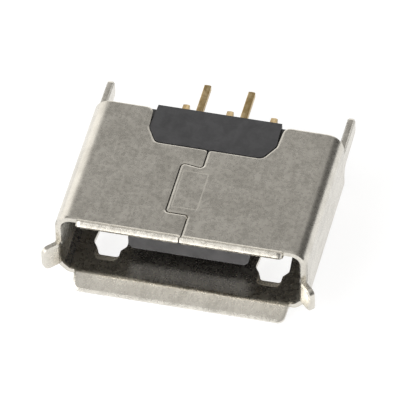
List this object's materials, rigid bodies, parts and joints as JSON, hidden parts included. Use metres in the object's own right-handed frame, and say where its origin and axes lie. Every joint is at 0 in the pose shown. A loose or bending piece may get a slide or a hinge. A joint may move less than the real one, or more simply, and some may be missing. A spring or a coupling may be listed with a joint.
{
  "type": "micro usb socket",
  "caption": "Upright micro USB socket for a circuit board: folded steel shell with a flared mouth, black housing with a contact tongue, and pins at the rear.",
  "frame": {"origin": "middle of the tail pattern, in the plane of the circuit board's surface, on the housing's rear face", "axes": "+Y out of the rear face and through the board, so the mouth faces -Y; +Z out of the wall with the seam; +X across the width. The socket lies on its latch-hole wall."},
  "size_m": [0.008, 0.0068, 0.0026],
  "materials": {
    "plated_shell": "dull tin plating with bright rolled edges",
    "black_moulding": "satin moulded plastic",
    "contacts": "thin gold plating"
  },
  "bodies": {
    "root": {"shell": "plated_shell", "housing": "black_moulding", "contact_1": "contacts", "contact_2": "contacts", "contact_3": "contacts", "contact_4": "contacts", "contact_5": "contacts"}
  },
  "joints": []
}
